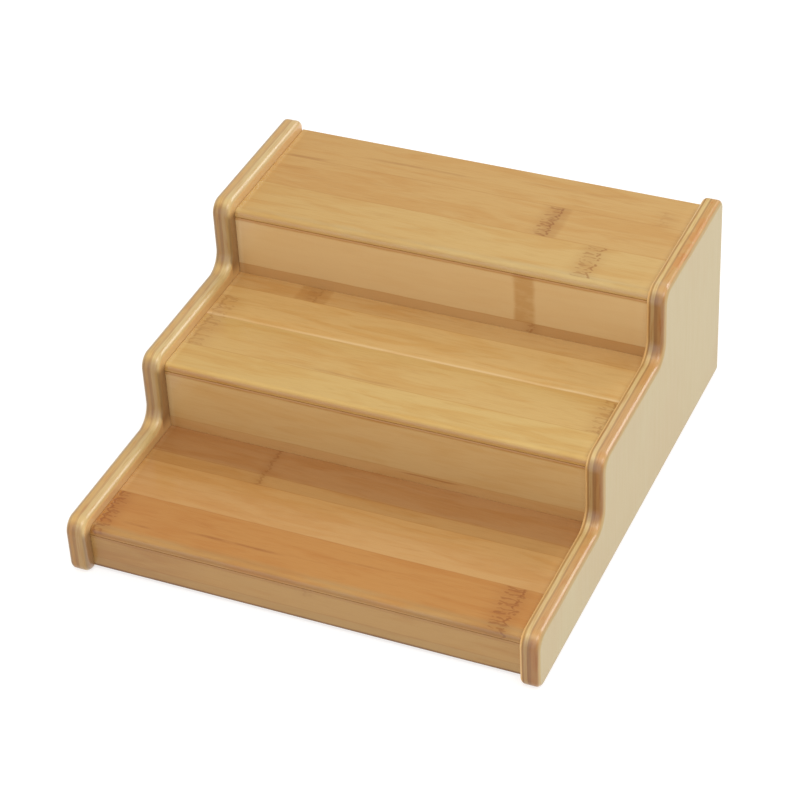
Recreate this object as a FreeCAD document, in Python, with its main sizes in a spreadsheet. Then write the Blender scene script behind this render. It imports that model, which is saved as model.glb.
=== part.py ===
"""Tiered shelf riser: two stepped side boards, three treads and three risers.

Units are millimetres. The origin is the centre of the footprint, on the surface that
the riser stands on. +X is to the right seen from the front, +Y runs from the low front
step to the high back step, and +Z is up.

The boards are glued together without fasteners. Each tread and riser has a tongue on
both ends, which sits in a stopped housing in the inner face of a side board. The two
lower treads also have a tongue along the back edge, and the riser behind stands on it.
"""
import FreeCAD, Part
import os

import Sketcher

# Driving dimensions, in millimetres.
DIMENSIONS = {
    "overall_width": 254.0,       # outer face to outer face of the side boards
    "side_thickness": 10.6,       # side board stock
    "side_lip": 6.4,              # the side boards stand this far proud of the steps
    "first_top": 26.4,            # top of the lowest tread above the shelf
    "tier_rise": 39.4,            # from one tread top to the next
    "tier_going": 90.0,           # from one nosing to the next
    "top_depth": 87.5,            # nosing to back edge of the highest tread
    "back_margin": 1.0,           # side boards past the highest tread at the back
    "board_thickness": 4.4,       # tread and riser stock
    "tongue_thickness": 3.0,      # tongue left on the ends and back of each board
    "tongue_length": 4.0,         # how deep the end tongues sit in the side boards
    "tongue_setback": 3.0,        # the highest tread's tongue stops short of its back
    "nose_radius": 3.4,           # upper front edge of a tread
    "under_nose_radius": 0.9,     # lower front edge of a tread
    "riser_ease": 0.9,            # upper front edge of a riser, just under the nosing
    "floor_gap": 2.4,             # the lowest riser clears the shelf by this much
    "convex_radius": 8.5,         # outward corners of the stepped outline
    "concave_radius": 10.0,       # inward corners of the stepped outline
    "toe_radius": 6.0,            # bottom front corner of a side board
    "crown_radius": 5.0,          # top back corner of a side board
    "heel_radius": 3.0,           # bottom back corner of a side board
    "edge_radius": 2.8,           # round-over along both faces of a side board
}
TIERS = ("lower", "middle", "upper")
NEAR = 1e-4  # two places closer than this are the same place

doc = FreeCAD.newDocument("TieredShelfRiser")
sheet = doc.addObject("Spreadsheet::Sheet", "Params")
for row, (alias, millimetres) in enumerate(DIMENSIONS.items(), start=1):
    sheet.set("A%d" % row, alias)
    sheet.set("B%d" % row, str(millimetres))
    sheet.setAlias("B%d" % row, alias)
doc.recompute()


class Size:
    """A length with its value and the expression over the sheet that gives it."""

    def __init__(self, value, text):
        self.value = value
        self.text = text

    def __add__(self, other):
        return Size(self.value + other.value, "(%s + %s)" % (self.text, other.text))

    def __sub__(self, other):
        return Size(self.value - other.value, "(%s - %s)" % (self.text, other.text))

    def __rmul__(self, factor):
        return Size(factor * self.value, "(%g * %s)" % (factor, self.text))


def cell(alias):
    """The sheet's cell of this name."""
    return Size(float(sheet.get(alias)), "Params.%s" % alias)


ZERO = Size(0.0, "0")
WIDTH_INSIDE = cell("overall_width") - 2 * cell("side_thickness")
WHOLE_DEPTH = cell("side_lip") + 2 * cell("tier_going") + cell("top_depth") + cell("back_margin")
SHOULDER = cell("board_thickness") - cell("tongue_thickness")


def nosing(tier):
    """Depth of a tier's front face, from the front edge of the side boards."""
    return cell("side_lip") + tier * cell("tier_going")


def top(tier):
    """Height of a tier's tread top above the shelf."""
    return cell("first_top") + tier * cell("tier_rise")


def tread_depth(tier):
    """Nosing to the back of the visible tread."""
    return cell("top_depth") if tier == len(TIERS) - 1 else cell("tier_going")


def new_body(label, left, front, bottom):
    """A body whose origin lies left of centre, behind the front edge and above the shelf."""
    body = doc.addObject("PartDesign::Body", label)
    body.Label = label
    body.setExpression("Placement.Base.x", left.text)
    body.setExpression("Placement.Base.y", (front - 0.5 * WHOLE_DEPTH).text)
    body.setExpression("Placement.Base.z", bottom.text)
    return body


def cross_plane(body):
    """The body's own plane across X."""
    return next(f for f in body.Origin.OriginFeatures if f.Role == "YZ_Plane")


def pin_corner(sketch, line, name, depth, height):
    """Hold the start of a line at a depth and a height from the sketch's origin."""
    for kind, axis, distance in (("DistanceX", -2, depth), ("DistanceY", -1, height)):
        if abs(distance.value) < NEAR:
            sketch.addConstraint(Sketcher.Constraint("PointOnObject", line, 1, axis))
            continue
        rule = Sketcher.Constraint(kind, -1, 1, line, 1, distance.value)
        index = sketch.addConstraint(rule)
        sketch.renameConstraint(index, name + kind)
        sketch.setExpression("Constraints.%s%s" % (name, kind), distance.text)


def rectangle(body, name, front, bottom, back, upper):
    """A sketched rectangle across X, between two depths and two heights."""
    sketch = body.newObject("Sketcher::SketchObject", name)
    sketch.AttachmentSupport = [(cross_plane(body), "")]
    sketch.MapMode = "FlatFace"
    corners = [
        FreeCAD.Vector(depth.value, height.value, 0.0)
        for depth, height in ((front, bottom), (back, bottom), (back, upper), (front, upper))
    ]
    for index, corner in enumerate(corners):
        following = (index + 1) % len(corners)
        sketch.addGeometry(Part.LineSegment(corner, corners[following]), False)
    for index in range(len(corners)):
        following = (index + 1) % len(corners)
        direction = "Vertical" if index % 2 else "Horizontal"
        sketch.addConstraint(Sketcher.Constraint("Coincident", index, 2, following, 1))
        sketch.addConstraint(Sketcher.Constraint(direction, index))
    pin_corner(sketch, 0, "near", front, bottom)
    pin_corner(sketch, 2, "far", back, upper)
    return sketch


def pad(body, name, profile, length, midplane=False, reverse=False):
    """Extrude a sketch along X."""
    feature = body.newObject("PartDesign::Pad", name)
    feature.Profile = profile
    feature.Midplane = midplane
    feature.Reversed = reverse
    feature.setExpression("Length", length.text)
    doc.recompute()
    return feature


def pocket(body, name, profile, depth, reverse):
    """Cut a sketch into the body along X, and make sure that it did cut."""
    before = body.Shape.Volume
    feature = body.newObject("PartDesign::Pocket", name)
    feature.Profile = profile
    feature.Reversed = reverse
    feature.setExpression("Length", depth.text)
    doc.recompute()
    if body.Shape.Volume > before - NEAR:
        raise RuntimeError("%s cuts nothing" % name)
    return feature


def fillet(body, name, edges, radius):
    """Round some edges of the body's last feature."""
    base = body.Tip
    feature = body.newObject("PartDesign::Fillet", name)
    feature.Base = (base, edges)
    feature.setExpression("Radius", radius.text)
    doc.recompute()
    return feature


def edge_names(body, wanted):
    """The names of the edges whose bounding box the wanted() test accepts."""
    edges = enumerate(body.Shape.Edges, start=1)
    offset = body.Placement.Base
    names = []
    for number, edge in edges:
        box = edge.BoundBox
        box.move(offset.negative())
        if wanted(box):
            names.append("Edge%d" % number)
    if not names:
        raise RuntimeError("no such edge on %s" % body.Label)
    return names


def corner_edges(body, depth, height):
    """The edges that run along X at this depth and height in the body."""
    def wanted(box):
        return (
            box.YLength < NEAR
            and box.ZLength < NEAR
            and abs(box.YMin - depth.value) < NEAR
            and abs(box.ZMin - height.value) < NEAR
        )
    return edge_names(body, wanted)


def face_edges(body, across):
    """The edges that lie in the plane at this distance along X in the body."""
    def wanted(box):
        return abs(box.XMin - across) < NEAR and abs(box.XMax - across) < NEAR
    return edge_names(body, wanted)


def tread_tongue(tier):
    """Front, bottom, back and top of a tread's tongue, from its nosing and underside."""
    if tier == len(TIERS) - 1:
        back = cell("top_depth") - cell("tongue_setback")
    else:
        back = cell("tier_going") + cell("board_thickness")
    return SHOULDER, ZERO, back, cell("tongue_thickness")


def riser_height(tier):
    """From the tongue of the tread below, or the shelf, to the underside of the tread."""
    if tier == 0:
        return cell("first_top") - cell("board_thickness") - cell("floor_gap")
    return cell("tier_rise") - cell("board_thickness") + SHOULDER


def riser_foot(tier):
    """Height of a riser's lower edge above the shelf."""
    return cell("floor_gap") if tier == 0 else top(tier - 1) - SHOULDER


def riser_tongue(tier):
    """Front, bottom, back and top of a riser's tongue, from its front face and foot."""
    bottom = cell("edge_radius") if tier == 0 else ZERO
    return SHOULDER, bottom, cell("board_thickness"), riser_height(tier)


def make_board(label, tier, foot, depth, height, tongue):
    """A tread or riser: the part that shows, and the tongue that it is held by."""
    body = new_body(label, ZERO, nosing(tier), foot)
    visible = rectangle(body, label + "_board_outline", ZERO, ZERO, depth, height)
    pad(body, label + "_board", visible, WIDTH_INSIDE, midplane=True)
    held = rectangle(body, label + "_tongue_outline", *tongue)
    length = WIDTH_INSIDE + 2 * cell("tongue_length")
    pad(body, label + "_tongue", held, length, midplane=True)
    return body


def make_tread(tier):
    """A shelf board with a rounded nosing."""
    label = TIERS[tier] + "_tread"
    thickness = cell("board_thickness")
    foot = top(tier) - thickness
    body = make_board(label, tier, foot, tread_depth(tier), thickness, tread_tongue(tier))
    fillet(body, label + "_nosing", corner_edges(body, ZERO, thickness), cell("nose_radius"))
    under = corner_edges(body, ZERO, ZERO)
    fillet(body, label + "_under_nosing", under, cell("under_nose_radius"))
    return body


def make_riser(tier):
    """An upright board whose eased top edge leaves a fine shadow line under the nosing."""
    label = TIERS[tier] + "_riser"
    height = riser_height(tier)
    thickness = cell("board_thickness")
    body = make_board(label, tier, riser_foot(tier), thickness, height, riser_tongue(tier))
    fillet(body, label + "_ease", corner_edges(body, ZERO, height), cell("riser_ease"))
    return body


def round_outline(body, label):
    """Round the corners of a side board's stepped outline."""
    lip = cell("side_lip")
    crown = top(len(TIERS) - 1) + lip
    convex = []
    for tier in range(len(TIERS)):
        convex += corner_edges(body, tier * cell("tier_going"), top(tier) + lip)
    fillet(body, label + "_outward_corners", convex, cell("convex_radius"))
    concave = []
    for tier in range(1, len(TIERS)):
        concave += corner_edges(body, tier * cell("tier_going"), top(tier - 1) + lip)
    fillet(body, label + "_inward_corners", concave, cell("concave_radius"))
    for name, depth, height in (
        ("toe", ZERO, ZERO),
        ("crown", WHOLE_DEPTH, crown),
        ("heel", WHOLE_DEPTH, ZERO),
    ):
        edges = corner_edges(body, depth, height)
        fillet(body, "%s_%s" % (label, name), edges, cell(name + "_radius"))


def house_tongue(body, label, tier, foot, tongue, reverse):
    """Cut the housing that one board's tongue fills."""
    front, bottom, back, upper = tongue
    outline = rectangle(
        body, label + "_outline",
        nosing(tier) + front, foot + bottom, nosing(tier) + back, foot + upper,
    )
    pocket(body, label, outline, cell("tongue_length"), reverse)


def make_side(label, hand):
    """A stepped side board: hand is 1 on the right and -1 on the left."""
    inner_face = 0.5 * hand * WIDTH_INSIDE
    body = new_body(label, inner_face, ZERO, ZERO)
    for tier, tier_name in enumerate(TIERS):
        front = tier * cell("tier_going")
        name = "%s_%s" % (label, tier_name)
        step = rectangle(
            body, name + "_outline", front, ZERO, WHOLE_DEPTH, top(tier) + cell("side_lip")
        )
        pad(body, name, step, cell("side_thickness"), reverse=hand < 0)
    round_outline(body, label)
    faces = face_edges(body, 0.0) + face_edges(body, hand * DIMENSIONS["side_thickness"])
    fillet(body, label + "_round_over", faces, cell("edge_radius"))
    for tier, tier_name in enumerate(TIERS):
        name = "%s_%s" % (label, tier_name)
        foot = top(tier) - cell("board_thickness")
        house_tongue(body, name + "_tread_housing", tier, foot, tread_tongue(tier), hand > 0)
        foot = riser_foot(tier)
        house_tongue(body, name + "_riser_housing", tier, foot, riser_tongue(tier), hand > 0)
    return body


def check_document(bodies):
    """Stop if any object failed to build, or a board isn't one sound solid."""
    for item in doc.Objects:
        if "Invalid" in item.State or "Error" in item.State:
            raise RuntimeError("%s failed: %s" % (item.Label, item.State))
    for body in bodies:
        shape = body.Shape
        if shape.isNull() or not shape.isValid() or len(shape.Solids) != 1:
            raise RuntimeError("%s isn't one valid solid" % body.Label)


def main():
    bodies = [make_side("left_side_panel", -1), make_side("right_side_panel", 1)]
    for tier in range(len(TIERS)):
        bodies.append(make_tread(tier))
        bodies.append(make_riser(tier))
    doc.recompute()
    check_document(bodies)
    os.makedirs("parts", exist_ok=True)
    for body in bodies:
        body.Shape.exportStep("parts/%s.step" % body.Label)
        box = body.Shape.BoundBox
        print(
            "%-18s x %.2f..%.2f  y %.2f..%.2f  z %.2f..%.2f" % (
                body.Label, box.XMin, box.XMax, box.YMin, box.YMax, box.ZMin, box.ZMax,
            )
        )


main()
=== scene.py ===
"""Tiered shelf riser in lacquered bamboo: the boards as finer meshes, their materials and a studio.

Units are metres. The frame's origin is the centre of the footprint on the surface below, +X is
to the right, +Y runs from the low front step to the high back step, and +Z is up.

Each board replaces its CAD node and keeps its size and place. Where a board's section is drawn,
depth is along Y and height along Z, and the section is swept along X, the length of the bamboo.
"""
import math
from collections import namedtuple

import bmesh
import bpy
from mathutils import Matrix, Vector


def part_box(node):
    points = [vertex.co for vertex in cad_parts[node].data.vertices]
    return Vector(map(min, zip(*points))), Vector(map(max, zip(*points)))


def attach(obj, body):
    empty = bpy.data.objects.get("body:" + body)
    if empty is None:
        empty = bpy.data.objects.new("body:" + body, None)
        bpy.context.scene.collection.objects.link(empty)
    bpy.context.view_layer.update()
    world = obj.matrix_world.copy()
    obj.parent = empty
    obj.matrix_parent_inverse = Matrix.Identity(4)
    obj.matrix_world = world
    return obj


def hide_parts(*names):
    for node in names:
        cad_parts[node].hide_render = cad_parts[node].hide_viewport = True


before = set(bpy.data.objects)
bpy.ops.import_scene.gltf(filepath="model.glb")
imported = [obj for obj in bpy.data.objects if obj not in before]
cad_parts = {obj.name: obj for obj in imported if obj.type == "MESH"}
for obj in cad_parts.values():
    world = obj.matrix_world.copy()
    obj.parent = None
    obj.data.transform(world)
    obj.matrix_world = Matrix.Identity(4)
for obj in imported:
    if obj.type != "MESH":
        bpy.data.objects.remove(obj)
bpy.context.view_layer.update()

MM = 0.001
TIERS = ("lower", "middle", "upper")
INNER_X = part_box("right_side_panel")[0].x  # inner face of the right side board
OUTER_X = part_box("right_side_panel")[1].x
SIDE = OUTER_X - INNER_X  # thickness of the side boards

# Radii and small sizes that the CAD boards have.
NOSE_RADIUS = 3.4 * MM  # upper front edge of a tread
UNDER_NOSE_RADIUS = 0.9 * MM  # lower front edge of a tread
RISER_EASE = 0.9 * MM  # upper front edge of a riser
CONVEX_RADIUS = 8.5 * MM  # outward corners of the side boards' outline
CONCAVE_RADIUS = 10.0 * MM  # inward corners of the side boards' outline
TOE_RADIUS = 6.0 * MM
CROWN_RADIUS = 5.0 * MM
HEEL_RADIUS = 3.0 * MM
EDGE_RADIUS = 2.8 * MM  # round-over along both faces of a side board
TONGUE = 3.0 * MM  # thickness of the tongues
BOARD = 4.4 * MM  # thickness of the treads and risers
SHOULDER = BOARD - TONGUE

# What the finer meshes add.
SANDED = 0.25 * MM  # a board's sharp edges are broken by this much
SEAM = 0.3 * MM  # bevel at a board's ends, which leaves a fine line at the side boards
CORNER_STEPS = 14  # segments in a corner of an outline
EDGE_STEPS = 10  # segments in a side board's round-over
SHARP = math.radians(40.0)  # edges that turn by more than this look sharp
SAME = 0.001 * MM  # points closer than this are one point


def rounded(corners, inset=0.0):
    """An outline through square corners (depth, height, radius), moved inwards by inset.

    The corners run anticlockwise with depth to the right and height up. A corner's centre
    stays where it is, so an outline has the same number of points for every inset.
    """
    points = []
    for index, (depth, height, radius) in enumerate(corners):
        corner = Vector((depth, height))
        before = Vector(corners[index - 1][:2])
        after = Vector(corners[(index + 1) % len(corners)][:2])
        arriving = (corner - before).normalized()
        leaving = (after - corner).normalized()
        turns_left = arriving.x * leaving.y - arriving.y * leaving.x > 0.0
        reach = radius - inset if turns_left else radius + inset
        centre = corner - radius * arriving + radius * leaving
        for step in range(CORNER_STEPS + 1):
            turn = 0.5 * math.pi * step / CORNER_STEPS
            out = arriving * math.sin(turn) - leaving * math.cos(turn)
            points.append(centre + reach * out)
    return points


def swept(name, rings):
    """A closed piece through rings (x, outline) with equal numbers of points, and its end caps."""
    mesh = bmesh.new()
    loops = [[mesh.verts.new((x, *point)) for point in outline] for x, outline in rings]
    for near, far in zip(loops, loops[1:]):
        for index in range(len(near)):
            after = (index + 1) % len(near)
            mesh.faces.new((near[index], near[after], far[after], far[index]))
    mesh.faces.new(reversed(loops[0]))
    mesh.faces.new(loops[-1])
    return finished(name, mesh)


def finished(name, mesh):
    """The object of a bmesh, smooth but for its sharp edges, with flat faces that look flat."""
    bmesh.ops.remove_doubles(mesh, verts=mesh.verts, dist=SAME)
    bmesh.ops.dissolve_degenerate(mesh, edges=mesh.edges, dist=SAME)
    for face in mesh.faces:
        face.smooth = True
    for edge in mesh.edges:
        edge.smooth = edge.calc_face_angle(0.0) < SHARP
    data = bpy.data.meshes.new(name)
    mesh.to_mesh(data)
    mesh.free()
    piece = bpy.data.objects.new(name, data)
    bpy.context.scene.collection.objects.link(piece)
    weighted = piece.modifiers.new("flat_faces", "WEIGHTED_NORMAL")
    weighted.keep_sharp = True
    return piece


def board(name, corners, tongue_depths, tongue_heights):
    """A tread or riser: its section between the side boards, and a tongue on both ends."""
    section = rounded(corners)
    tongue = [
        Vector((min(max(depth, tongue_depths[0]), tongue_depths[1]),
                min(max(height, tongue_heights[0]), tongue_heights[1])))
        for depth, height in section
    ]
    tongue_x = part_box(name)[1].x
    half = [
        (tongue_x, tongue),
        (INNER_X, tongue),
        (INNER_X, rounded(corners, SEAM)),
        (INNER_X - SEAM, section),
    ]
    rings = [(-x, outline) for x, outline in half] + list(reversed(half))
    return swept(name + "_board", rings)


def tread(tier):
    """A shelf board with a rounded nosing, and a tongue at the back where a riser stands on it."""
    name = TIERS[tier] + "_tread"
    low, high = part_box(name)
    corners = [(low.y, low.z, UNDER_NOSE_RADIUS)]
    if tier == len(TIERS) - 1:
        shown = high.y
        corners += [(high.y, low.z, SANDED), (high.y, high.z, 2 * SANDED)]
        held = high.y - TONGUE
    else:
        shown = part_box(TIERS[tier + 1] + "_riser")[0].y
        corners += [
            (high.y, low.z, SANDED),
            (high.y, low.z + TONGUE, SANDED),
            (shown, low.z + TONGUE, SANDED),
            (shown, high.z, SANDED),
        ]
        held = high.y
    corners.append((low.y, high.z, NOSE_RADIUS))
    return board(name, corners, (low.y + SHOULDER, held), (low.z, low.z + TONGUE))


def riser(tier):
    """An upright board with an eased top edge under the nosing."""
    name = TIERS[tier] + "_riser"
    low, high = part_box(name)
    corners = [
        (low.y, low.z, SANDED),
        (high.y, low.z, SANDED),
        (high.y, high.z, SANDED),
        (low.y, high.z, RISER_EASE),
    ]
    tongue_foot = low.z + (EDGE_RADIUS if tier == 0 else 0.0)
    return board(name, corners, (low.y + SHOULDER, high.y), (tongue_foot, high.z))


def side_corners():
    """The stepped outline of a side board, anticlockwise from the bottom front corner."""
    low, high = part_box("right_side_panel")
    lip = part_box("lower_tread")[0].y - low.y
    corners = [
        (low.y, low.z, TOE_RADIUS),
        (high.y, low.z, HEEL_RADIUS),
        (high.y, high.z, CROWN_RADIUS),
    ]
    for tier in reversed(range(len(TIERS))):
        nosing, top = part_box(TIERS[tier] + "_tread")[0].y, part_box(TIERS[tier] + "_tread")[1].z
        corners.append((nosing - lip, top + lip, CONVEX_RADIUS))
        if tier > 0:
            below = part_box(TIERS[tier - 1] + "_tread")[1].z
            corners.append((nosing - lip, below + lip, CONCAVE_RADIUS))
    return corners


def side(name, hand):
    """A stepped side board, round-over on both faces: hand is 1 on the right and -1 on the left."""
    corners = side_corners()
    middle = 0.5 * (INNER_X + OUTER_X)
    half_flat = 0.5 * SIDE - EDGE_RADIUS
    half = []
    for step in range(EDGE_STEPS + 1):
        turn = 0.5 * math.pi * step / EDGE_STEPS
        across = half_flat + EDGE_RADIUS * math.cos(turn)
        inset = EDGE_RADIUS * (1.0 - math.sin(turn))
        half.append((across, rounded(corners, inset)))
    rings = [(hand * middle - across, outline) for across, outline in half]
    rings += [(hand * middle + across, outline) for across, outline in reversed(half)]
    return swept(name + "_board", rings)


# Materials.

# A strip or ply ends at a place across the board, and passes softly into the next.
Strip = namedtuple("Strip", "end soft colour")
# A knuckle's line lies at a place along the board, from low to high across it. Its comb of
# fibres is reach long, and ends about comb away from the line.
Knuckle = namedtuple("Knuckle", "at low high comb reach strength")
# A streak's middle is at a place along and across the board. It has faded out at width.
Streak = namedtuple("Streak", "at across length width strength")
# A band's middle is at a place along the board, and it runs from low to high across it.
Band = namedtuple("Band", "at low high width strength")


def add(tree, kind, inputs=None, **settings):
    """Add a node with these settings, and feed its inputs from sockets or plain values."""
    node = tree.nodes.new(kind)
    for name, value in settings.items():
        setattr(node, name, value)
    for name, value in (inputs or {}).items():
        feed(tree, node.inputs[name], value)
    return node


def feed(tree, socket, value):
    """Give an input a socket's output or a plain value."""
    if isinstance(value, bpy.types.NodeSocket):
        tree.links.new(value, socket)
    else:
        socket.default_value = value


def maths(tree, operation, *values):
    """The output of a Math node."""
    node = add(tree, "ShaderNodeMath", operation=operation)
    for index, value in enumerate(values):
        feed(tree, node.inputs[index], value)
    return node.outputs[0]


def product(tree, *values):
    """All the values multiplied together."""
    result = values[0]
    for value in values[1:]:
        result = maths(tree, "MULTIPLY", result, value)
    return result


def ramp(tree, value, start, end, low=0.0, high=1.0):
    """value taken smoothly from start..end to low..high."""
    node = add(tree, "ShaderNodeMapRange", {"Value": value}, interpolation_type="SMOOTHSTEP")
    for name, number in (("From Min", start), ("From Max", end), ("To Min", low), ("To Max", high)):
        node.inputs[name].default_value = number
    return node.outputs[0]


def around(tree, value, centre, half_width, core=0.0):
    """1 where value is within core of centre, falling to 0 at half_width."""
    distance = maths(tree, "ABSOLUTE", maths(tree, "SUBTRACT", value, centre))
    return ramp(tree, distance, half_width, core)


def mix(tree, factor, first, second, blend="MIX"):
    """The output of a colour mix."""
    node = add(tree, "ShaderNodeMix", data_type="RGBA", blend_type=blend)
    for index, value in ((0, factor), (6, first), (7, second)):
        feed(tree, node.inputs[index], value)
    return node.outputs[2]


def tint(tree, factor, colour, amount):
    """colour multiplied by amount, as far as factor says."""
    return mix(tree, factor, colour, (*amount, 1.0), "MULTIPLY")


def strip_colours(tree, value, strips):
    """The colour of the strip that value is in, and the strip's number."""
    colour = mix(tree, 0.0, (*strips[0].colour, 1.0), (*strips[0].colour, 1.0))
    number = 0.0
    for strip, following in zip(strips, strips[1:]):
        past = ramp(tree, value, strip.end - strip.soft, strip.end + strip.soft)
        colour = mix(tree, past, colour, (*following.colour, 1.0))
        number = maths(tree, "ADD", number, maths(tree, "GREATER_THAN", value, strip.end))
    return colour, number


class Place:
    """Where a shaded point lies on a board: along the bamboo, across it and through it."""

    def __init__(self, tree, along, across, through, seed=0.0):
        self.tree = tree
        position = add(tree, "ShaderNodeTexCoord").outputs["Object"]
        axes = add(tree, "ShaderNodeSeparateXYZ", {0: position}).outputs
        self.along, self.across, self.through = axes[along], axes[across], axes[through]
        self.shift = seed

    def grain(self, length, width, detail=2.0, distortion=0.0, offset=0.0):
        """Noise in patches about this long and wide, 0 to 1."""
        tree = self.tree
        along = maths(tree, "ADD", maths(tree, "DIVIDE", self.along, length), self.shift)
        vector = add(tree, "ShaderNodeCombineXYZ", {
            0: maths(tree, "ADD", along, offset),
            1: maths(tree, "DIVIDE", self.across, width),
            2: maths(tree, "DIVIDE", self.through, width),
        }).outputs[0]
        noise = add(tree, "ShaderNodeTexNoise", {
            "Vector": vector, "Scale": 1.0, "Detail": detail, "Roughness": 0.55,
            "Distortion": distortion,
        })
        return noise.outputs[0]

    def wavy(self, value, length, width, reach, offset):
        """value with noise added to it, as far as reach each way."""
        centred = maths(self.tree, "SUBTRACT", self.grain(length, width, offset=offset), 0.5)
        return maths(self.tree, "ADD", value, maths(self.tree, "MULTIPLY", centred, 2.0 * reach))

    def between(self, low, high, soft=0.4 * MM):
        """1 between two places across the board, 0 outside them."""
        above = ramp(self.tree, self.across, low - soft, low + soft)
        below = ramp(self.tree, self.across, high + soft, high - soft)
        return maths(self.tree, "MULTIPLY", above, below)


def growth_ring(place, knuckle):
    """A bamboo knuckle cut through: a ragged line across the strip, and a comb of frayed fibres."""
    tree = place.tree
    along = maths(tree, "SUBTRACT", place.along, knuckle.at)
    ragged = place.wavy(along, 70 * MM, 2.4 * MM, reach=4.0 * MM, offset=3.1)
    line = around(tree, ragged, 0.0, 1.3 * MM, core=0.2 * MM)
    patchy = ramp(tree, place.grain(5 * MM, 3.0 * MM, offset=5.7), 0.34, 0.5)
    line = maths(tree, "MULTIPLY", line, patchy)

    middle = 0.5 * knuckle.comb
    frayed = place.wavy(along, 60 * MM, 1.7 * MM, reach=4.0 * MM, offset=9.4)
    near = around(tree, frayed, middle, 0.5 * knuckle.reach + 1.5 * MM, core=0.5 * knuckle.reach)
    rows = place.wavy(place.across, 8 * MM, 4 * MM, reach=3.0 * MM, offset=1.3)
    spacing = maths(tree, "PINGPONG", rows, 0.5 * TOOTH_PITCH)
    teeth = ramp(tree, spacing, 1.1 * MM, 0.2 * MM, high=0.8)
    broken = ramp(tree, place.grain(5 * MM, 2.6 * MM, detail=1.0, offset=7.3), 0.34, 0.5)
    strokes = place.grain(6 * MM, 1.5 * MM, detail=1.0, distortion=0.3, offset=2.9)
    strokes = ramp(tree, strokes, 0.54, 0.66, high=0.8)
    teeth = maths(tree, "MAXIMUM", maths(tree, "MULTIPLY", teeth, broken), strokes)
    comb = maths(tree, "MULTIPLY", near, teeth)
    halo = around(tree, along, 0.4 * knuckle.comb, 1.1 * knuckle.reach + 5 * MM)
    mark = maths(tree, "MAXIMUM", maths(tree, "MAXIMUM", line, comb), product(tree, halo, 0.3))
    return product(tree, mark, place.between(knuckle.low, knuckle.high), knuckle.strength)


def band_mask(place, band):
    """A soft darker band across a strip, where a knuckle lies just under the surface."""
    tree = place.tree
    along = place.wavy(place.along, 60 * MM, 12 * MM, reach=1.2 * MM, offset=4.4)
    half = 0.5 * band.width
    soft = around(tree, along, band.at, half + 1.5 * MM, core=half - 1.5 * MM)
    mottled = ramp(tree, place.grain(7 * MM, 2.5 * MM, offset=8.8), 0.3, 0.6, low=0.7, high=1.0)
    return product(tree, soft, mottled, place.between(band.low, band.high), band.strength)


def streak_mask(place, streak):
    """A long dark fibre bundle that fades out at its ends."""
    tree = place.tree
    across = place.wavy(place.across, 70 * MM, 60 * MM, reach=2.5 * MM, offset=2.2)
    ends = around(tree, place.along, streak.at, 0.55 * streak.length, core=0.2 * streak.length)
    sides = around(tree, across, streak.across, streak.width)
    broken = ramp(tree, place.grain(16 * MM, 2 * MM, offset=6.6), 0.3, 0.55, low=0.3, high=1.0)
    return product(tree, ends, sides, broken, streak.strength)


def lacquered(tree, colour, roughness, relief, depth, coat, coat_roughness):
    """Wood under a clear lacquer, with its pores and fibres slightly in relief."""
    bump = add(tree, "ShaderNodeBump", {"Height": relief, "Distance": depth, "Strength": 1.0})
    surface = add(tree, "ShaderNodeBsdfPrincipled", {
        "Base Color": colour,
        "Roughness": roughness,
        "Specular IOR Level": WOOD_SHINE,
        "Normal": bump.outputs[0],
        "Coat Weight": coat,
        "Coat Roughness": coat_roughness,
        "Coat IOR": LACQUER_INDEX,
    })
    add(tree, "ShaderNodeOutputMaterial", {"Surface": surface.outputs[0]})


def new_material(name):
    """An empty material and its node tree."""
    material = bpy.data.materials.new(name)
    material.use_nodes = True
    material.node_tree.nodes.clear()
    return material, material.node_tree


# Lacquer.
SATIN_COAT = 0.4  # treads and risers
GLOSS_COAT = 1.0  # side boards' edges
FACE_COAT = 0.1  # side boards' outer faces
SATIN_ROUGHNESS = 0.16
GLOSS_ROUGHNESS = 0.30
LACQUER_INDEX = 1.6  # refractive index
WOOD_SHINE = 0.25  # how much the wood under the lacquer shines
STRIP_RELIEF = 0.02 * MM  # depth of the pores in the treads and risers
PLY_RELIEF = 0.004 * MM  # depth of the pores in the side boards

# What parts of the wood multiply its colour by.
WARM = (0.95, 0.89, 0.80)  # browner left ends
FLAME = (0.95, 0.87, 0.74)  # browner patches
FIBRE = (0.80, 0.68, 0.52)  # dark fibres
BURNT = (0.64, 0.48, 0.33)  # knuckles and streaks
GLUE = (0.86, 0.76, 0.62)  # joints between strips
GLINT = (1.12, 1.24, 1.60)  # painted highlight along a joint between strips
UNDER_NOSE_SHADE = (0.70, 0.51, 0.27)  # painted shade along the top edge of a riser, under the nosing, at the joint
NOSE_FRONT_SHADE = (0.60, 0.47, 0.32)  # painted shade down the front of a nosing
OLIVE_NOSE_SHADE = (0.59, 0.52, 0.31)  # painted shade, more olive, down the front of the lowest nosing
NOSE_HIGHLIGHT = (0.92, 1.12, 1.60)  # painted highlight along the top of a nosing
END_STAIN = (0.90, 0.83, 0.76)  # a board's ends, at the side boards
RIGHT_END_LIGHT = (1.06, 1.09, 1.14)  # painted light on the right ends, against the shade beside the right side board
LEFT_END_HIGHLIGHT = (1.08, 1.16, 1.32)  # painted highlight along the left ends
CONTACT_SHADE = (0.48, 0.38, 0.28)  # painted contact shade along edges that stand on the table
RISER_CORNER_SHADE = (0.46, 0.39, 0.35)  # painted shade on the side boards' inner faces in front of a riser
PLY_LINE = (0.86, 0.70, 0.52)  # fine lines in a side board's edge
CORE = (0.72, 0.68, 0.66)  # darker middle of a side board's edges, where they face the front
BLOTCH = (1.00, 0.80, 0.66)  # redder spots in the outer ply
CLOUD = (0.99, 0.955, 0.94)  # soft patches on the side boards

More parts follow.
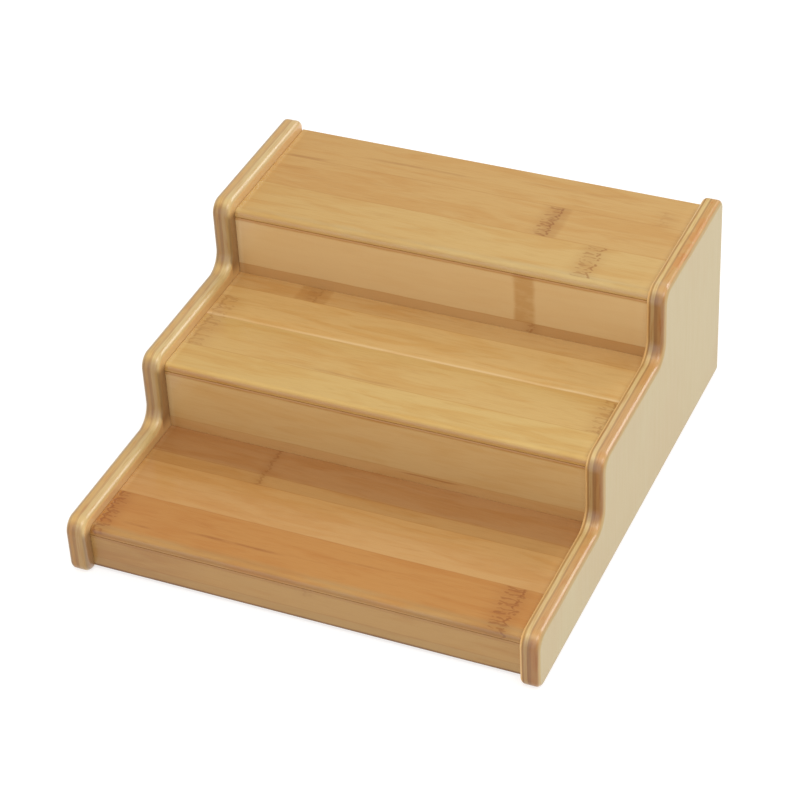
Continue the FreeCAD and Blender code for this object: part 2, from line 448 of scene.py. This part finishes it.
TOOTH_PITCH = 3.7 * MM  # between the fibres of a knuckle's comb
PLY_LINE_WIDTH = 0.75 * MM
PLY_LINE_LENGTH = 14 * MM
STRIP_SHIFT = 7.3  # how far apart in the noise two strips side by side lie


def figured(place, colour, grain):
    """Browner patches, ribbons and dark fibres: the colour, the fibres and how dark they are."""
    tree = place.tree
    flames = place.grain(60 * MM, 9 * MM, detail=3.0, distortion=0.9)
    colour = tint(tree, ramp(tree, flames, 0.42, 0.68, high=grain), colour, FLAME)
    ribbons = place.grain(26 * MM, 2.2 * MM, detail=3.0, distortion=0.6, offset=11.0)
    colour = tint(tree, ramp(tree, ribbons, 0.5, 0.8, high=0.32 * grain), colour, FIBRE)
    fibres = place.grain(9 * MM, 0.6 * MM, offset=23.0)
    dark_fibres = ramp(tree, fibres, 0.45, 0.8, high=0.24 * grain)
    return tint(tree, dark_fibres, colour, FIBRE), fibres, dark_fibres


def jointed(tree, edge, colour, strips, glints):
    """The colour with dark glue lines between the strips, and a painted highlight along the glints.
    """
    for strip in strips[:-1]:
        line = around(tree, edge, strip.end, 0.5 * MM, core=0.1 * MM)
        colour = tint(tree, product(tree, line, 0.6), colour, GLUE)
    for end in glints:
        # painted highlight along the joint
        line = around(tree, edge, end + 0.8 * MM, 1.7 * MM, core=0.2 * MM)
        colour = tint(tree, line, colour, GLINT)
    return colour


def dark_marks(place, knuckles, streaks):
    """How dark the knuckles and streaks are at each point."""
    masks = [growth_ring(place, knuckle) for knuckle in knuckles]
    masks += [streak_mask(place, streak) for streak in streaks]
    marks = 0.0
    for mask in masks:
        marks = maths(place.tree, "MAXIMUM", marks, mask)
    return marks


def board_ends(place, colour):
    """Painted light on the right ends, a painted highlight on the left ends, and stains at both
    sides.
    """
    tree = place.tree
    # painted light on the right ends, against the shade beside the right side board
    pale = ramp(tree, place.along, INNER_X - 9.4 * MM, INNER_X - 1.4 * MM)
    colour = tint(tree, pale, colour, RIGHT_END_LIGHT)
    # painted highlight along the left ends
    bright = ramp(tree, place.along, 3.9 * MM - INNER_X, 1.9 * MM - INNER_X)
    colour = tint(tree, bright, colour, LEFT_END_HIGHLIGHT)
    at_sides = ramp(tree, maths(tree, "ABSOLUTE", place.along), INNER_X - 0.5 * MM, INNER_X)
    return tint(tree, at_sides, colour, END_STAIN)


def bamboo(name, across, strips, painted_light, grain=1.0, warmth=0.7, glints=(), knuckles=(), bands=(),
           streaks=(), seed=0.0):
    """Wide bamboo strips glued side by side: each strip ends at a place across the board.

    finish paints light and shade on the front edge and foot, grain is how strongly the fibres show,
    warmth how much browner the left end is, and glints are joints with a painted highlight. The
    seed is where in the noise the board lies, so that no two boards have the same figure.
    """
    material, tree = new_material(name)
    place = Place(tree, "X", across, "Z" if across == "Y" else "Y", seed)
    edge = place.wavy(place.across, 22 * MM, 300 * MM, reach=0.5 * MM, offset=40.0)
    colour, number = strip_colours(tree, edge, strips)
    place.shift = maths(tree, "ADD", maths(tree, "MULTIPLY", number, STRIP_SHIFT), seed)

    colour = tint(tree, ramp(tree, place.along, 60 * MM, -120 * MM, high=warmth), colour, WARM)
    colour, fibres, dark_fibres = figured(place, colour, grain)
    colour = jointed(tree, edge, colour, strips, glints)
    marks = dark_marks(place, knuckles, streaks)
    colour = tint(tree, marks, colour, BURNT)
    for band in bands:
        colour = tint(tree, band_mask(place, band), colour, FIBRE)
    colour = painted_light(place, board_ends(place, colour))

    relief = maths(tree, "SUBTRACT", 1.0, maths(tree, "MULTIPLY", dark_fibres, 0.8))
    relief = maths(tree, "SUBTRACT", relief, maths(tree, "MULTIPLY", marks, 0.5))
    roughness = ramp(tree, fibres, 0.2, 0.8, low=0.36, high=0.5)
    lacquered(tree, colour, roughness, relief, STRIP_RELIEF, SATIN_COAT, SATIN_ROUGHNESS)
    return material


def nosing_painted_light(low, high, highlight_strength, shade_strength, shade_colour=NOSE_FRONT_SHADE):
    """The painted light of a tread: a painted highlight on top of its nosing, painted shade down
    the front.
    """
    def painted_light(place, colour):
        tree = place.tree
        depth, height = place.across, place.through
        edge = place.wavy(depth, 30 * MM, 300 * MM, reach=1.2 * MM, offset=61.0)
        # painted highlight along the top of the nosing
        on_top = ramp(tree, edge, low.y + 7.5 * MM, low.y + 3.5 * MM, high=highlight_strength)
        patchy = ramp(tree, place.grain(30 * MM, 9 * MM, offset=33.0), 0.3, 0.6, low=0.5, high=1.0)
        colour = tint(tree, maths(tree, "MULTIPLY", on_top, patchy), colour, NOSE_HIGHLIGHT)
        # painted shade down the front of the nosing, lighter near its bottom
        shade_edge = place.wavy(height, 25 * MM, 90 * MM, reach=0.3 * MM, offset=52.0)
        down = ramp(tree, shade_edge, high.z - 0.2 * MM, high.z - 2.0 * MM, high=shade_strength)
        lower = ramp(tree, shade_edge, low.z + 0.4 * MM, low.z + 1.6 * MM, low=0.4, high=1.0)
        front = ramp(tree, depth, low.y + 4.2 * MM, low.y + 3.2 * MM)
        return tint(tree, product(tree, down, lower, front), colour, shade_colour)
    return painted_light


def riser_painted_shade(low, high, shade_strength, contact_shade_strength):
    """The painted shade of a riser: under the nosing, and as contact shade along a foot near the
    table.
    """
    def painted_light(place, colour):
        tree = place.tree
        shade_edge = place.wavy(place.across, 22 * MM, 90 * MM, reach=0.5 * MM, offset=52.0)
        # painted shade under the nosing, along the joint
        under = ramp(tree, shade_edge, high.z - 2.3 * MM, high.z - 0.6 * MM, high=shade_strength)
        colour = tint(tree, under, colour, UNDER_NOSE_SHADE)
        # painted contact shade along the foot
        foot = ramp(tree, shade_edge, low.z + 1.9 * MM, low.z + 0.5 * MM, high=contact_shade_strength)
        return tint(tree, foot, colour, CONTACT_SHADE)
    return painted_light


def in_front_of_risers(place):
    """1 where a side board stands in front of a riser, 0 beside the treads: its painted shade."""
    tree = place.tree
    result = 0.0
    below = -20 * MM  # the lowest riser has no tread below it, so its columns start lower
    for tier in TIERS:
        low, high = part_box(tier + "_tread")
        columns = product(
            tree,
            ramp(tree, place.across, low.y + 1.2 * MM, low.y - 0.6 * MM),
            ramp(tree, place.across, low.y - 8.5 * MM, low.y - 7.0 * MM),
            ramp(tree, place.along, below, below + 9 * MM),
            ramp(tree, place.along, high.z + 2 * MM, high.z - 4 * MM),
        )
        result = maths(tree, "MAXIMUM", result, columns)
        below = high.z
    return result


def ply_lines(place, seed):
    """Fine lines along the plies, as a board's edge shows them."""
    tree = place.tree
    vector = add(tree, "ShaderNodeCombineXYZ", {
        0: maths(tree, "DIVIDE", place.through, PLY_LINE_WIDTH),
        1: maths(tree, "DIVIDE", maths(tree, "ADD", place.along, place.across), PLY_LINE_LENGTH),
        2: seed,
    }).outputs[0]
    noise = add(tree, "ShaderNodeTexNoise", {"Vector": vector, "Scale": 1.0, "Detail": 2.0})
    return ramp(tree, noise.outputs[0], 0.48, 0.72, high=0.75)


def facing_front(tree):
    """1 where a surface faces the front or the back: there the side boards' edges get painted shade
    and less lacquer.
    """
    normal = add(tree, "ShaderNodeTexCoord").outputs["Normal"]
    facing = add(tree, "ShaderNodeSeparateXYZ", {0: normal}).outputs[1]
    return ramp(tree, maths(tree, "ABSOLUTE", facing), 0.45, 0.95)


def shaded_front_edges(tree, depth, colour, cut, on_edge, front_shade, dull):
    """The colour with painted shade on the edges that face the front, and a darker line along their
    middle.
    """
    inside = max(dull, 1.0 * MM)
    full = ramp(tree, depth, inside - 0.7 * MM, inside + 0.1 * MM, low=0.5, high=1.0)
    # painted shade on the edges that face the front
    colour = tint(tree, product(tree, cut, on_edge, full), colour, front_shade)
    middle = around(tree, depth, 5.9 * MM, 0.9 * MM, core=0.2 * MM)
    return tint(tree, product(tree, cut, middle, 0.7), colour, CORE)


def blotches_and_shade(place, depth, colour, thin, dark):
    """The colour with painted shade before the risers and along the foot, blotches and soft
    patches.
    """
    tree = place.tree
    inner = ramp(tree, depth, 1.6 * MM, 0.6 * MM)
    # painted shade on the inner face in front of the risers
    colour = tint(tree, product(tree, inner, in_front_of_risers(place), dark), colour, RISER_CORNER_SHADE)
    spots = ramp(tree, place.grain(14 * MM, 8 * MM, distortion=0.5, offset=17.0), 0.5, 0.62)
    spread = maths(tree, "ADD", maths(tree, "MULTIPLY", thin, 0.4), 0.35)
    outer = around(tree, depth, 7.4 * MM, 2.6 * MM, core=1.6 * MM)
    colour = tint(tree, product(tree, spots, spread, outer), colour, BLOTCH)
    # painted contact shade along the foot
    colour = tint(tree, ramp(tree, place.along, 2.4 * MM, 0.3 * MM), colour, CONTACT_SHADE)
    clouds = place.grain(70 * MM, 34 * MM, distortion=0.4)
    return tint(tree, ramp(tree, clouds, 0.4, 0.65), colour, CLOUD)


def side_coat(tree, depth, cut, thin, dull):
    """How much lacquer a side board has: most on its edges, little on its outer face."""
    return product(
        tree,
        ramp(tree, depth, SIDE - 0.2 * MM, SIDE - 0.5 * MM, low=FACE_COAT, high=GLOSS_COAT),
        ramp(tree, depth, dull - 0.3 * MM, dull + 0.3 * MM, low=0.1, high=1.0),
        ramp(tree, cut, 0.0, 1.0, low=1.0, high=0.35),
        ramp(tree, thin, 0.0, 1.0, low=1.0, high=0.15),
    )


def plywood(name, layers, front_shade, dull, rubbed, dark, seed):
    """A side board: plies and glue lines show on its edges, and its faces are plain.

    front_shade is the painted shade that the edges facing the front multiply the colour by. dull is
    how deep, from the inner face, the lacquer is thin. Behind rubbed the whole edge has a thin
    lacquer and more blotches. dark is how strongly painted shade darkens the inner face in front of
    the risers.
    """
    material, tree = new_material(name)
    place = Place(tree, "Z", "Y", "X", seed)
    depth = maths(tree, "SUBTRACT", maths(tree, "ABSOLUTE", place.through), INNER_X)
    depth = place.wavy(depth, 35 * MM, 35 * MM, reach=0.25 * MM, offset=3.0)
    on_edge = around(tree, depth, 0.5 * SIDE, 0.5 * SIDE - 0.3 * MM, core=0.5 * SIDE - 0.9 * MM)
    cut = facing_front(tree)
    thin = product(
        tree,
        ramp(tree, place.across, rubbed - 3 * MM, rubbed + 3 * MM),
        ramp(tree, depth, SIDE - 0.6 * MM, SIDE - 1.2 * MM),
    )

    colour, _ = strip_colours(tree, depth, layers)
    colour = tint(tree, product(tree, ply_lines(place, seed), on_edge), colour, PLY_LINE)
    colour = shaded_front_edges(tree, depth, colour, cut, on_edge, front_shade, dull)
    colour = blotches_and_shade(place, depth, colour, thin, dark)
    fibres = place.grain(30 * MM, 1.6 * MM, offset=7.0)
    dark_fibres = ramp(tree, fibres, 0.5, 0.8, high=0.03)
    colour = tint(tree, dark_fibres, colour, FIBRE)

    relief = maths(tree, "SUBTRACT", 1.0, dark_fibres)
    roughness = ramp(tree, fibres, 0.2, 0.8, low=0.38, high=0.44)
    coat = side_coat(tree, depth, cut, thin, dull)
    lacquered(tree, colour, roughness, relief, PLY_RELIEF, coat, GLOSS_ROUGHNESS)
    return material


# Bamboo colours, linear.
STRAW = (0.56, 0.355, 0.118)
HONEY = (0.54, 0.32, 0.100)
# GOLD is paler partly as painted light, against the shade the upper riser casts on the middle
# tread's back.
GOLD = (0.63, 0.40, 0.150)
WHEAT = (0.575, 0.38, 0.128)
BISCUIT = (0.555, 0.332, 0.122)
MALT = (0.53, 0.290, 0.095)
AMBER = (0.47, 0.252, 0.082)
CARAMEL = (0.47, 0.215, 0.048)
TOFFEE = (0.395, 0.196, 0.069)
PALE = (0.497, 0.322, 0.141)
PLAIN = (0.437, 0.272, 0.107)
FOOT = (0.41, 0.225, 0.080)
# The lowest riser's two colours below are darker: painted shade, against the light of the glowing
# floor.
LOW_RISER_SHADED = (0.322, 0.176, 0.049)
LOW_RISER_FOOT_SHADED = (0.302, 0.170, 0.050)
INNER_FACE = (0.72, 0.46, 0.185)
LIGHT_PLY = (0.60, 0.42, 0.17)
ORANGE_PLY = (0.53, 0.30, 0.10)
GLUE_PLY = (0.42, 0.24, 0.085)
SEAM_PLY = (0.50, 0.30, 0.10)
APRICOT_PLY = (0.57, 0.35, 0.11)
TAN_PLY = (0.47, 0.30, 0.11)
DARK_PLY = (0.43, 0.245, 0.08)
OUTER_FACE = (0.525, 0.415, 0.215)

HARD = 0.15 * MM  # how softly a strip passes into the next
SOFT = 0.8 * MM
FAR = 1.0  # beyond the edge of any board


def tread_look(tier):
    """The strips, knuckles and streaks of each tread."""
    low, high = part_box(TIERS[tier] + "_tread")
    front = low.y
    if tier == 0:
        first, second, third = front + 32.5 * MM, front + 60.5 * MM, front + 69 * MM
        return dict(
            strips=[
                Strip(first, HARD, CARAMEL), Strip(second, HARD, MALT),
                Strip(third, 2 * SOFT, AMBER), Strip(FAR, HARD, TOFFEE),
            ],
            knuckles=[
                Knuckle(105 * MM, front, first, -7 * MM, 9 * MM, 1.0),
                Knuckle(-114 * MM, front, first, 4 * MM, 5 * MM, 1.0),
                Knuckle(-52 * MM, second, FAR, -1 * MM, 1 * MM, 0.6),
            ],
            streaks=[
                Streak(-42 * MM, front + 15 * MM, 60 * MM, 1.6 * MM, 0.7),
                Streak(-95 * MM, front + 11 * MM, 20 * MM, 1.2 * MM, 0.5),
                Streak(20 * MM, front + 21 * MM, 40 * MM, 1.2 * MM, 0.3),
            ],
            painted_light=nosing_painted_light(low, high, 0.9, 1.0, OLIVE_NOSE_SHADE), seed=1.7,
        )
    if tier == 1:
        first, second, third = front + 21.5 * MM, front + 49 * MM, front + 77 * MM
        return dict(
            strips=[
                Strip(first, SOFT, WHEAT), Strip(second, HARD, STRAW),
                Strip(third, SOFT, GOLD), Strip(FAR, HARD, BISCUIT),
            ],
            glints=[second],
            knuckles=[
                Knuckle(-113 * MM, first, third - 9 * MM, 6 * MM, 8 * MM, 0.6),
                Knuckle(114 * MM, first, second, -5 * MM, 6 * MM, 0.7),
                Knuckle(-66 * MM, third, FAR, -7 * MM, 5 * MM, 0.5),
            ],
            bands=[Band(-69 * MM, third, FAR, 18 * MM, 0.6)],
            streaks=[
                Streak(-20 * MM, front + 23 * MM, 70 * MM, 1.4 * MM, 0.4),
            ],
            painted_light=nosing_painted_light(low, high, 0.0, 1.0), seed=4.1,
        )
    first, second = front + 31.5 * MM, front + 60 * MM
    return dict(
        strips=[Strip(first, SOFT, STRAW), Strip(second, SOFT, HONEY), Strip(FAR, HARD, HONEY)],
        knuckles=[
            Knuckle(48 * MM, first, second, -7 * MM, 5 * MM, 1.0),
            Knuckle(81 * MM, front + 3 * MM, first, -9 * MM, 6 * MM, 0.95),
            Knuckle(101 * MM, second, second + 14 * MM, 3 * MM, 4 * MM, 0.25),
        ],
        streaks=[
            Streak(-38 * MM, front + 71 * MM, 70 * MM, 1.6 * MM, 0.5),
            Streak(-102 * MM, front + 61 * MM, 30 * MM, 1.6 * MM, 0.6),
            Streak(45 * MM, front + 77 * MM, 60 * MM, 1.6 * MM, 0.3),
        ],
        bands=[Band(49 * MM, first, second, 9 * MM, 0.45)],
        painted_light=nosing_painted_light(low, high, 0.4, 0.7), seed=8.3,
    )


def riser_look(tier):
    """The strips, knuckles and streaks of each riser: a narrow darker strip runs along its foot."""
    low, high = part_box(TIERS[tier] + "_riser")
    if tier == 0:
        return dict(
            strips=[Strip(low.z + 6.2 * MM, SOFT, LOW_RISER_FOOT_SHADED), Strip(FAR, HARD, LOW_RISER_SHADED)],
            knuckles=[Knuckle(2 * MM, low.z + 15 * MM, FAR, 4 * MM, 3 * MM, 0.3)],
            streaks=[Streak(-110 * MM, low.z + 10 * MM, 120 * MM, 18 * MM, 0.32)],
            painted_light=riser_painted_shade(low, high, 0.4, 1.0), grain=0.8, seed=12.9,
        )
    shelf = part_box(TIERS[tier - 1] + "_tread")[1].z
    strip = shelf + 6.1 * MM
    if tier == 1:
        return dict(
            strips=[Strip(strip, SOFT, FOOT), Strip(FAR, HARD, PLAIN)],
            streaks=[Streak(30 * MM, strip - 1.2 * MM, 40 * MM, 0.9 * MM, 0.8)],
            painted_light=riser_painted_shade(low, high, 0.9, 0.0), warmth=0.3, grain=0.7, seed=16.3,
        )
    return dict(
        strips=[Strip(strip, HARD, FOOT), Strip(FAR, HARD, PALE)],
        knuckles=[
            Knuckle(52 * MM, shelf, strip, 0.0, 2 * MM, 0.8),
        ],
        bands=[
            Band(48.5 * MM, strip, FAR, 11 * MM, 1.0),
            Band(86 * MM, shelf, strip, 66 * MM, 0.3),
        ],
        painted_light=riser_painted_shade(low, high, 1.0, 0.0), warmth=0.3, grain=0.3, seed=21.4,
    )


def side_look(hand):
    """The plies of a side board from its inner face outwards, its thin lacquer, blotches and
    painted shade.
    """
    if hand > 0:
        layers = [
            Strip(1.5 * MM, HARD, INNER_FACE), Strip(2.6 * MM, HARD, DARK_PLY),
            Strip(4.5 * MM, HARD, LIGHT_PLY),
            Strip(5.4 * MM, HARD, GLUE_PLY), Strip(SIDE - 1.0 * MM, HARD, ORANGE_PLY),
            Strip(SIDE - 0.2 * MM, HARD, TAN_PLY), Strip(FAR, HARD, OUTER_FACE),
        ]
        return dict(
            layers=layers, front_shade=(0.50, 0.43, 0.40), dull=2.3 * MM, rubbed=53 * MM, dark=0.2,
            seed=3.3,
        )
    layers = [
        Strip(0.25 * MM, HARD, INNER_FACE), Strip(4.5 * MM, HARD, LIGHT_PLY),
        Strip(5.6 * MM, HARD, SEAM_PLY), Strip(SIDE - 2.6 * MM, HARD, APRICOT_PLY),
        Strip(SIDE - 0.3 * MM, HARD, TAN_PLY), Strip(FAR, HARD, OUTER_FACE),
    ]
    return dict(
        layers=layers, front_shade=(0.51, 0.44, 0.38), dull=-1.0 * MM, rubbed=FAR, dark=1.0, seed=5.9,
    )


def dress(piece, node, material):
    """Put a finished piece in the place of its CAD node."""
    piece.data.materials.append(material)
    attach(piece, "root")
    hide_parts(node)


def make_riser_unit():
    """All eight boards."""
    for word, hand in (("left", -1), ("right", 1)):
        look = plywood(word + "_side_plywood", **side_look(hand))
        dress(side(word + "_side_panel", hand), word + "_side_panel", look)
    for tier, word in enumerate(TIERS):
        look = bamboo(word + "_tread_bamboo", "Y", **tread_look(tier))
        dress(tread(tier), word + "_tread", look)
        look = bamboo(word + "_riser_bamboo", "Z", **riser_look(tier))
        dress(riser(tier), word + "_riser", look)


# The studio.

WHITE = (1.0, 1.0, 1.0, 1.0)
FLOOR_HALF = 6.0
FLOOR_COLOUR = (0.42, 0.42, 0.42, 1.0)
FLOOR_ROUGHNESS = 0.6
FLOOR_GLOW = 0.67
SKY = 0.60

# Angles in degrees, sizes and distance in metres, power in watts.
Softbox = namedtuple("Softbox", "name azimuth elevation distance width height power")
SOFTBOXES = (
    Softbox("key", 151.0, 39.0, 1.6, 1.15, 0.46, 8.5),
    Softbox("front", -10.0, 18.0, 1.8, 2.0, 1.3, 14.0),
    Softbox("top", 28.0, 60.0, 1.8, 1.4, 1.0, 12.5),
)

AZIMUTH = math.radians(25.16)
ELEVATION = math.radians(37.10)
ROLL = math.radians(-3.18)
DISTANCE = 1.3522
TARGET = Vector((7.76 * MM, -21.05 * MM, 60.6 * MM))
LENS = 119.97  # mm
SENSOR = 36.0  # mm
NEAREST = 0.05  # what the camera sees lies between these distances
FARTHEST = 50.0


def towards(azimuth, elevation):
    """The direction from the object at this azimuth, 0 to the front, and elevation."""
    flat = math.cos(elevation)
    return Vector((math.sin(azimuth) * flat, -math.cos(azimuth) * flat, math.sin(elevation)))


def make_camera():
    """The camera looks down on the right front corner, and is tilted a little."""
    back = towards(AZIMUTH, ELEVATION)
    right = Vector((0.0, 0.0, 1.0)).cross(back).normalized()
    up = back.cross(right)
    level = Matrix((right, up, back)).transposed()
    turn = Matrix.Rotation(ROLL, 3, "Z")
    data = bpy.data.cameras.new("camera")
    data.sensor_width = SENSOR
    data.lens = LENS
    data.clip_start = NEAREST
    data.clip_end = FARTHEST
    camera = bpy.data.objects.new("camera", data)
    camera.matrix_world = Matrix.Translation(TARGET + DISTANCE * back) @ (level @ turn).to_4x4()
    bpy.context.scene.collection.objects.link(camera)
    bpy.context.scene.camera = camera


def make_floor():
    """A pale seamless table top."""
    mesh = bmesh.new()
    bmesh.ops.create_grid(mesh, x_segments=1, y_segments=1, size=FLOOR_HALF)
    data = bpy.data.meshes.new("floor")
    mesh.to_mesh(data)
    mesh.free()
    floor = bpy.data.objects.new("floor", data)
    bpy.context.scene.collection.objects.link(floor)
    material, tree = new_material("floor")
    surface = add(tree, "ShaderNodeBsdfPrincipled", {
        "Base Color": FLOOR_COLOUR,
        "Roughness": FLOOR_ROUGHNESS,
        "Emission Color": WHITE,
        "Emission Strength": FLOOR_GLOW,
    })
    add(tree, "ShaderNodeOutputMaterial", {"Surface": surface.outputs[0]})
    data.materials.append(material)


def make_softbox(box):
    """A rectangular light that faces the object."""
    direction = towards(math.radians(box.azimuth), math.radians(box.elevation))
    data = bpy.data.lights.new(box.name, "AREA")
    data.shape = "RECTANGLE"
    data.size = box.width
    data.size_y = box.height
    data.energy = box.power
    light = bpy.data.objects.new(box.name, data)
    light.rotation_mode = "QUATERNION"
    light.rotation_quaternion = direction.to_track_quat("Z", "Y")
    light.location = TARGET + box.distance * direction
    bpy.context.scene.collection.objects.link(light)


def make_lights():
    """A white sky, softboxes in front and above, and a key softbox behind on the right."""
    world = bpy.data.worlds.new("sky")
    world.use_nodes = True
    background = world.node_tree.nodes["Background"]
    background.inputs["Color"].default_value = WHITE
    background.inputs["Strength"].default_value = SKY
    bpy.context.scene.world = world
    for box in SOFTBOXES:
        make_softbox(box)


make_riser_unit()
make_camera()
make_floor()
make_lights()
bpy.context.scene.view_settings.view_transform = "Standard"
